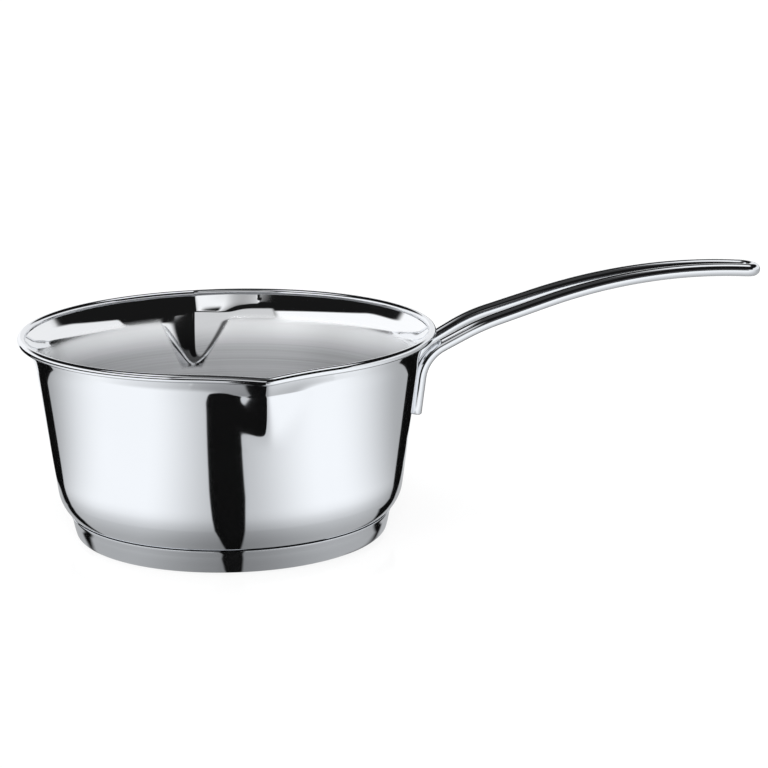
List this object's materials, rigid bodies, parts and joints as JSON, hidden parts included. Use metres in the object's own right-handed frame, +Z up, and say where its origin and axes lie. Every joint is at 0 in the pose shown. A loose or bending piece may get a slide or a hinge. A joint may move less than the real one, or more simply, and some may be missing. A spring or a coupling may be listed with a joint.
{
  "type": "milk pan",
  "caption": "Stainless steel milk pan with rolled rim, pouring spouts, sandwich base and a long looped rod handle welded to the wall.",
  "frame": {"origin": "middle of the flat resting face under the base", "axes": "+Z up along the pan's axis, +X from the axis out along the handle, the pouring spouts along -Y and +Y"},
  "size_m": [0.3236, 0.1838, 0.1041],
  "materials": {
    "polished_steel": "mirror-polished stainless steel",
    "satin_steel": "satin stainless steel, ring-brushed underneath",
    "aluminium_core": "bare pressed aluminium",
    "weld_metal": "cleaned stainless weld metal"
  },
  "bodies": {
    "root": {"pan_bowl": "polished_steel", "heat_spreader_disc": "aluminium_core", "base_cap": "satin_steel", "handle_rod": "polished_steel", "near_leg_weld": "weld_metal", "far_leg_weld": "weld_metal"}
  },
  "joints": []
}
